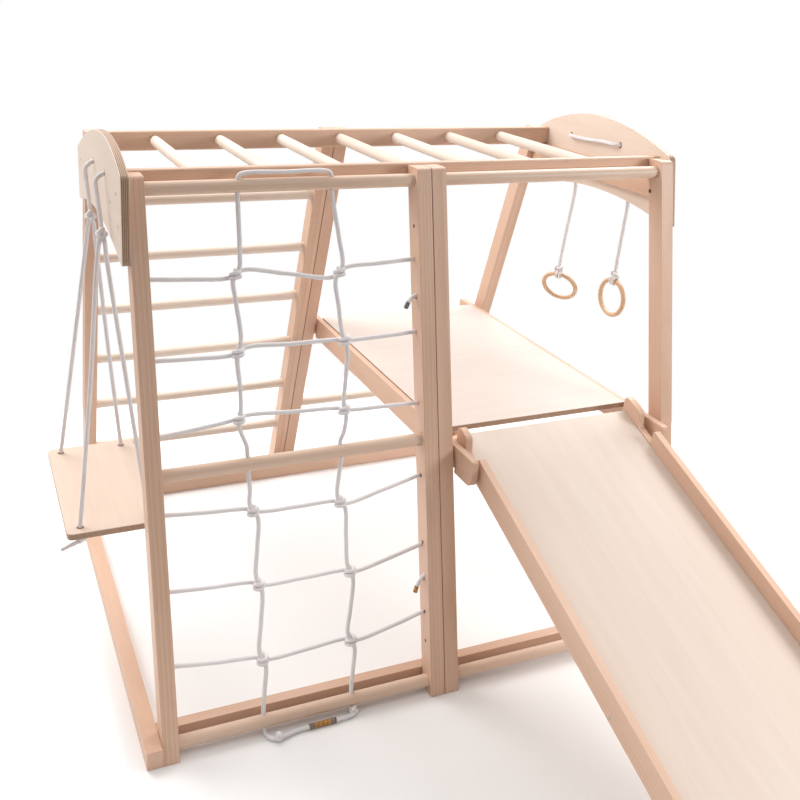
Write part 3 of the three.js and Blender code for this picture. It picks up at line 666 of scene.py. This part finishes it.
def through_plate(holes, pivot_z, ends, hanging_x, outer_face, inner_x, outwards):
    """Up the plate's outer face, in through one hole, along inside and out of the other."""
    (rear_y, rear_z), (front_y, front_z) = holes
    middle = outer_face - outwards * PLATE_THICKNESS / 2
    return [
        (hanging_x, ends[0], pivot_z),
        (hanging_x + outwards, (ends[0] * 2 + rear_y) / 3, pivot_z + 34),
        (hanging_x + outwards * 2, (ends[0] + rear_y * 3) / 4, rear_z - 38),
        (hanging_x + outwards, rear_y - 2, rear_z - 13),
        (middle + outwards * 12, rear_y, rear_z - 0.5),
        (middle, rear_y, rear_z),
        (middle - outwards * 12, rear_y - 2, rear_z),
        (inner_x, rear_y - 16, rear_z + 1),
        (inner_x, rear_y - 55, rear_z + 1),
        (inner_x, (rear_y + front_y) / 2, (rear_z + front_z) / 2),
        (inner_x, front_y + 55, front_z + 1),
        (inner_x, front_y + 16, front_z + 1),
        (middle - outwards * 12, front_y + 2, front_z),
        (middle, front_y, front_z),
        (middle + outwards * 12, front_y, front_z - 0.5),
        (hanging_x + outwards, front_y - 2, front_z - 13),
        (hanging_x + outwards * 2, (ends[1] + front_y * 3) / 4, front_z - 38),
        (hanging_x + outwards, (ends[1] * 2 + front_y) / 3, pivot_z + 34),
        (hanging_x, ends[1], pivot_z),
    ]


rope("swing_rope_hanger", through_plate(((-26, 1208), (-186, 1211)), SWING_Z - 5, (-72, -238),
                                        SWING_X, PLATE_FACES[0], 13, -1))

# ---- rings ----

RING_X, PIVOT_Z, RING_MAJOR, RING_MINOR = 1406, 1094, 51, 6.5
RING_KNOT_RISE = 0.0165
HITCH_STEPS, HITCH_TURNS, HITCH_WIDTH, HITCH_RADIUS = 56, 2, 0.0095, 0.0106
# y of the rope's top, then the ring's centre and the way it faces
RINGS = {"rear": (97, 116, 760, (0.7, 0.51, 0.5)), "front": (-150, -138, 803, (1, 0.02, 0))}
rope("ring_rope_top", through_plate(((100, 1232), (-128, 1239)), PIVOT_Z + 4, (97, -150),
                                    RING_X, PLATE_FACES[1], FRAME_RIGHT - 13, 1))
for place, (top_y, y, z, normal) in RINGS.items():
    body = "ring_" + place
    facing = Vector(normal).normalized()
    upwards = Vector(Z_AXIS) - facing * facing.z
    upwards.normalize()
    sideways = facing.cross(upwards)
    centre = at(RING_X, y, z)
    circle = []
    for i in range(96):
        angle = 2 * math.pi * i / 96
        circle.append(centre + (upwards * math.cos(angle) + sideways * math.sin(angle))
                      * RING_MAJOR / 1000)
    mesh = tube_mesh(body + "_turned", circle, RING_MINOR / 1000, 24, closed=True)
    write_grain(mesh, sideways, facing, 91)
    ring = new_object(body + "_finished", mesh, RING_WOOD, body)
    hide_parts(body)
    top = centre + upwards * RING_MAJOR / 1000
    lump = knot(body + "_knot", top + Vector((0, 0, RING_KNOT_RISE)), facing, body, 0.0056)
    hitch = []
    for i in range(HITCH_STEPS + 1):
        t = i / HITCH_STEPS
        angle = 2 * math.pi * HITCH_TURNS * t + 0.6
        hitch.append(top + sideways * HITCH_WIDTH * (2 * t - 1)
                     + (upwards * math.cos(angle) + facing * math.sin(angle)) * HITCH_RADIUS)
    loop = small_tube(body + "_hitch", hitch, ROPE_RADIUS * 0.9, ROPE, body)
    end = (top - SHIFT) * 1000 + Vector((0, 0, RING_MINOR + 6))
    rope("ring_rope_" + place, [
        (RING_X, top_y, PIVOT_Z - 1),
        (RING_X, top_y, PIVOT_Z - 30),
        ((end.x + RING_X) / 2, (end.y + top_y) / 2, (end.z + PIVOT_Z) / 2),
        (end.x, end.y - 1, end.z + 30),
        tuple(end),
    ])

# ---- the net ----

NET_OFFSET = 5.4  # the long rope passes this far in front of the posts' middle, the rows behind
PAST_BAR = 24
BARS = {"top": 1204, "middle": 614, "bottom": 28}
DROP_X, RISE_X = 235, 450
LEFT_FALL = [(232, 1060), (230, 1037), (215, 1014), (219, 960), (225, 884), (215, 848),
             (218, 780), (216, 728), (211, 703), (226, 655)]
LEFT_FALL_LOW = [(228, 560), (226, 526), (243, 496), (238, 430), (232, 366), (244, 332),
                 (238, 260), (231, 192), (244, 160), (238, 100)]
RIGHT_FALL = [(460, 1090), (466, 1026), (449, 998), (453, 940), (459, 880), (470, 846),
              (464, 780), (457, 722), (462, 694), (453, 655)]
RIGHT_FALL_LOW = [(438, 560), (433, 512), (450, 486), (450, 420), (451, 348), (463, 320),
                  (454, 250), (445, 188), (460, 156), (454, 100)]
NET_ROWS = [
    [(36, 1021), (120, 1016), (210, 1014), (240, 1028), (340, 1014), (447, 1000), (475, 1018),
     (560, 1023), (648, 1027)],
    [(36, 854), (120, 851), (210, 851), (241, 864), (340, 862), (455, 861), (480, 858),
     (560, 859), (648, 862)],
    [(36, 694), (120, 702), (208, 712), (230, 718), (340, 713), (448, 708), (470, 702),
     (560, 699), (648, 697)],
    [(36, 528), (130, 520), (222, 513), (250, 503), (340, 500), (435, 498), (456, 489),
     (550, 506), (648, 527)],
    [(36, 361), (130, 354), (228, 347), (250, 337), (350, 335), (450, 334), (472, 327),
     (560, 342), (648, 361)],
    [(36, 196), (130, 184), (230, 174), (253, 165), (350, 168), (442, 172), (468, 163),
     (560, 177), (648, 196)],
]
CROSSINGS = [((222, 1020), (460, 1010)), ((219, 856), (466, 860)), ((214, 714), (459, 706)),
             ((234, 509), (441, 497)), ((239, 342), (458, 332)), ((239, 170), (453, 169))]


def in_net(offset):
    """Puts an (x, z) pair into the net's leaning plane, or offset behind it."""
    return lambda spot: (spot[0], front_axis(spot[1]) + offset, spot[1])


def upright_route():
    ahead, centre = in_net(-NET_OFFSET), in_net(0)
    top, middle, bottom = BARS["top"], BARS["middle"], BARS["bottom"]
    floor_y = front_axis(bottom)

    def through_bar(x, rise):
        return [centre((x, middle + rise * 23)), centre((x, middle)),
                centre((x, middle - rise * 23))]

    return [
        (341, floor_y - 30, 6), (305, floor_y - 31, 6), (275, floor_y - 38, 6.2),
        (256, floor_y - 42, 7), (240, floor_y - 32, 6.2), (DROP_X - 1, floor_y - 12, 7),
        centre((DROP_X, bottom)), centre((DROP_X, bottom + PAST_BAR)),
        *map(ahead, reversed(LEFT_FALL_LOW)),
        *through_bar(DROP_X - 7, -1),
        *map(ahead, reversed(LEFT_FALL)),
        centre((DROP_X, top - PAST_BAR)), centre((DROP_X, top)),
        (DROP_X + 5, front_axis(top), top + 23), (256, front_axis(top), top + 27.5),
        (342, front_axis(top), top + 27), (430, front_axis(top), top + 27.5),
        (RISE_X - 5, front_axis(top), top + 23),
        centre((RISE_X, top)), centre((RISE_X, top - PAST_BAR)),
        *map(ahead, RIGHT_FALL),
        *through_bar(RISE_X - 3, 1),
        *map(ahead, RIGHT_FALL_LOW),
        centre((RISE_X, bottom + PAST_BAR)), centre((RISE_X, bottom)),
        (RISE_X, floor_y - 12, 7), (448, floor_y - 24, 6), (430, floor_y - 29, 6),
        (393, floor_y - 30, 6),
    ]


FLOOR_Y = front_axis(BARS["bottom"])
joint_line = [at(x, FLOOR_Y - 30, 6.5) for x in (334, 350, 367, 384, 400)]
joint = small_tube("net_joint_sleeve", centripetal(joint_line, 0.004), 0.0062, AMBER_TAPE, "frame")
for word, x in (("left", 341), ("right", 393)):
    band_line = [at(x - 5, FLOOR_Y - 30, 6.6), at(x + 5, FLOOR_Y - 30, 6.6)]
    small_tube("net_joint_band_" + word, band_line, 0.0065, GREY_TAPE, "frame")
floor_knots = [knot("net_floor_knot_left", at(259, FLOOR_Y - 40, 11.5), (1, -0.5, 0), "frame",
                    0.0037),
               knot("net_floor_knot_right", at(449, FLOOR_Y - 19, 11.5), (0.2, 1, 0), "frame",
                    0.0037)]
rope("net_rope_upright", upright_route())


def taped_tail(name, spots, material):
    """A short rope's end out of a bored hole, with tape round its tip."""
    line = centripetal([at(*p) for p in spots], 0.003)
    cut = len(line) * 2 // 3
    stub = small_tube(name, line[:cut + 1], ROPE_RADIUS * 0.95, ROPE, "frame")
    tip = small_tube(name + "_tape", line[cut:], ROPE_RADIUS * 1.08, material, "frame")
    return [stub, tip]


UPPER_Y, LOWER_Y = front_axis(940), front_axis(285)
tails = {
    2: taped_tail("net_tail_upper", [(652, UPPER_Y, 949), (640, UPPER_Y - 2, 945),
                                     (628, UPPER_Y - 5, 935), (620, UPPER_Y - 7, 920)], GREY_TAPE),
    5: taped_tail("net_tail_lower", [(652, LOWER_Y, 290), (641, LOWER_Y - 2, 283),
                                     (630, LOWER_Y - 5, 268), (624, LOWER_Y - 7, 250)], AMBER_TAPE),
}
ROW_ENDS = (POST_WIDTH + 1.5, BAY_WIDTH - POST_WIDTH - 1.5)
for number, (row, crossing) in enumerate(zip(NET_ROWS, CROSSINGS), 1):
    spots = [(min(max(x, ROW_ENDS[0]), ROW_ENDS[1]), z) for x, z in row]
    wraps = [wrap(f"net_knot_{number}_{word}", at(*in_net(0)((x, z))), FRONT_GRAIN,
                  (1, 0, 0.12 if word == "left" else -0.12), "frame")
             for word, (x, z) in zip(("left", "right"), crossing)]
    rope(f"net_rope_row_{number}", [in_net(NET_OFFSET)(p) for p in spots])

# ---- painted shade in bored holes, and screws ----


def bored(name, centre, facing, radius, body):
    # A thin dark disc on the wood: painted shade standing for a bored hole.
    profile = [(-0.001, 0), (-0.001, radius), (0.00025, radius), (0.00025, 0)]
    new_object(name, lathe(name, profile, 24, centre, facing), HOLE_SHADE, body)


def screw(name, centre, facing, body, radius):
    """A countersunk head, just proud of the wood, with a hexagonal socket in it."""
    turn = Vector(Z_AXIS).rotation_difference(Vector(facing).normalized())
    sides, corner = 24, math.pi / 3
    head = [(radius, -0.001), (radius, 0.0001), (radius * 0.9, 0.00045)]
    socket = [(radius * 0.52, 0.0005), (radius * 0.46, 0.0004), (radius * 0.43, -0.0012)]
    bm = bmesh.new()
    rings = []
    for outline in (head, socket):
        for reach, height in outline:
            ring = []
            for i in range(sides):
                angle = 2 * math.pi * i / sides
                hexagonal = math.cos(corner / 2) / math.cos(angle % corner - corner / 2)
                r = reach * hexagonal if outline is socket else reach
                spot = Vector((r * math.cos(angle), r * math.sin(angle), height))
                ring.append(bm.verts.new(centre + turn @ spot))
            rings.append(ring)
    bm.faces.new(list(reversed(rings[0])))
    for a, b in zip(rings, rings[1:]):
        for i in range(sides):
            j = (i + 1) % sides
            bm.faces.new((a[i], a[j], b[j], b[i]))
    bm.faces.new(rings[-1])
    bmesh.ops.recalc_face_normals(bm, faces=bm.faces)
    mesh = bpy.data.meshes.new(name)
    bm.to_mesh(mesh)
    bm.free()
    new_object(name, mesh, STEEL, body)


def screw_pairs(name, faces, left_spots, right_spots, body, radius):
    """Heads on a left and a right outer face, at (y, z) spots."""
    for i, (left, right) in enumerate(zip(left_spots, right_spots), 1):
        screw(f"{name}_left_{i}", at(faces[0], *left), LEFTWARDS, body, radius)
        screw(f"{name}_right_{i}", at(faces[1], *right), X_AXIS, body, radius)


LARGE_SCREW, MIDDLE_SCREW, SMALL_SCREW = 0.0042, 0.0038, 0.0036  # head radii
screw_pairs("plate_screw", PLATE_FACES,
            [(-346, 1132), (-330, 1196), (-250, 1163), (164, 1134), (205, 1172)],
            [(-325, 1132), (-308, 1196), (-225, 1163), (190, 1134), (215, 1182)],
            "frame", LARGE_SCREW)
PLATFORM_SCREWS = [(70, 554), (23, 582), (-233, 543), (-330, 582), (400, 582)]
screw_pairs("platform_screw", PLATFORM_FACES, PLATFORM_SCREWS, PLATFORM_SCREWS,
            "platform", SMALL_SCREW)
SLIDE_SCREWS = [(-802, 434), (-1104, 317), (-1420, 192), (-1750, 64)]
screw_pairs("slide_screw", SLIDE_FACES, SLIDE_SCREWS, SLIDE_SCREWS, "slide", MIDDLE_SCREW)
REAR_NORMAL = (0, -HEIGHT, REAR_RUN)
for i, z in enumerate((943, 503, 129), 1):
    for word, x in (("left", 673), ("right", 697)):
        screw(f"rear_leg_screw_{word}_{i}", at(x, rear_face(z), z), REAR_NORMAL, "frame",
              SMALL_SCREW)
# Dark discs on the posts' inner faces: painted shade of bored holes.
for i, z in enumerate((1102, 941, 528, 368, 279, 198, 126), 1):
    spot = at(BAY_WIDTH - POST_WIDTH, front_axis(z), z)
    bored(f"post_hole_shade_{i}", spot, LEFTWARDS, 0.0042, "frame")
bored("right_post_hole_shade", at(FRAME_RIGHT - POST_WIDTH, -317, 1153), LEFTWARDS, 0.0055, "frame")
BASE_SCREWS = [(y, 23) for y in (-600, -546, 538, 650)]
screw_pairs("base_screw", BASE_FACES, BASE_SCREWS, BASE_SCREWS, "frame", LARGE_SCREW)

# ---- floor, backdrop and light ----

FLOOR_RADIUS = 2.0
FLOOR_DROP = 0.0005  # keeps the floor's face off the undersides that stand on it


def make_floor():
    shader = Shader("studio_floor")
    spot = shader.add("ShaderNodeTexCoord").outputs["Object"]
    cloud = shader.noise(spot, 1.3, 2.0)
    shader.color(shader.ramp(cloud, [(0.0, (0.9, 0.9, 0.9)), (1.0, (0.93, 0.93, 0.93))]))
    shader.roughness(cloud, 0.85, 0.95)
    bm = bmesh.new()
    bmesh.ops.create_circle(bm, cap_ends=True, segments=96, radius=FLOOR_RADIUS)
    mesh = bpy.data.meshes.new("floor")
    bm.to_mesh(mesh)
    bm.free()
    mesh.materials.append(shader.material)
    floor = bpy.data.objects.new("floor", mesh)
    floor.location = (0, 0, -FLOOR_DROP)
    bpy.context.scene.collection.objects.link(floor)


def make_light(name, place, target, size, power):
    lamp = bpy.data.lights.new(name, "AREA")
    lamp.shape = "DISK"
    lamp.size = size
    lamp.energy = power
    obj = bpy.data.objects.new(name, lamp)
    obj.location = place
    obj.rotation_euler = (Vector(target) - Vector(place)).to_track_quat("-Z", "Y").to_euler()
    bpy.context.scene.collection.objects.link(obj)


def make_world():
    """White all round for the camera; as light, strong from above and behind, weak in front."""
    world = bpy.data.worlds.new("studio")
    bpy.context.scene.world = world
    world.use_nodes = True
    nodes, links = world.node_tree.nodes, world.node_tree.links
    lit = nodes["Background"]
    spot = nodes.new("ShaderNodeTexCoord")
    toward = nodes.new("ShaderNodeVectorMath")
    toward.operation = "DOT_PRODUCT"
    toward.inputs[1].default_value = Vector((-0.3, 0.5, 0.8)).normalized()
    links.new(spot.outputs["Generated"], toward.inputs[0])
    strength = nodes.new("ShaderNodeMapRange")
    strength.interpolation_type = "SMOOTHSTEP"
    for socket, value in (("From Min", -0.42), ("From Max", 0.85), ("To Min", 0.06),
                          ("To Max", 1.05)):
        strength.inputs[socket].default_value = value
    links.new(toward.outputs["Value"], strength.inputs["Value"])
    links.new(strength.outputs["Result"], lit.inputs["Strength"])
    lit.inputs["Color"].default_value = (1.0, 0.985, 0.97, 1)
    seen = nodes.new("ShaderNodeBackground")
    seen.inputs["Color"].default_value = (1, 1, 1, 1)
    path = nodes.new("ShaderNodeLightPath")
    mix = nodes.new("ShaderNodeMixShader")
    links.new(path.outputs["Is Camera Ray"], mix.inputs[0])
    links.new(lit.outputs[0], mix.inputs[1])
    links.new(seen.outputs[0], mix.inputs[2])
    links.new(mix.outputs[0], nodes["World Output"].inputs["Surface"])


make_floor()
make_world()
make_light("key_left", (-1.5, 2.1, 2.9), (0, 0.2, 0.5), 2.2, 72)
make_light("key_right", (2.1, 1.6, 2.7), (0.2, 0.2, 0.5), 2.0, 68)
make_light("right_fill", (2.0, -1.5, 1.6), (0.7, 0.1, 0.85), 0.9, 31)
bpy.context.scene.view_settings.view_transform = "Standard"
bpy.context.scene.view_settings.look = "None"
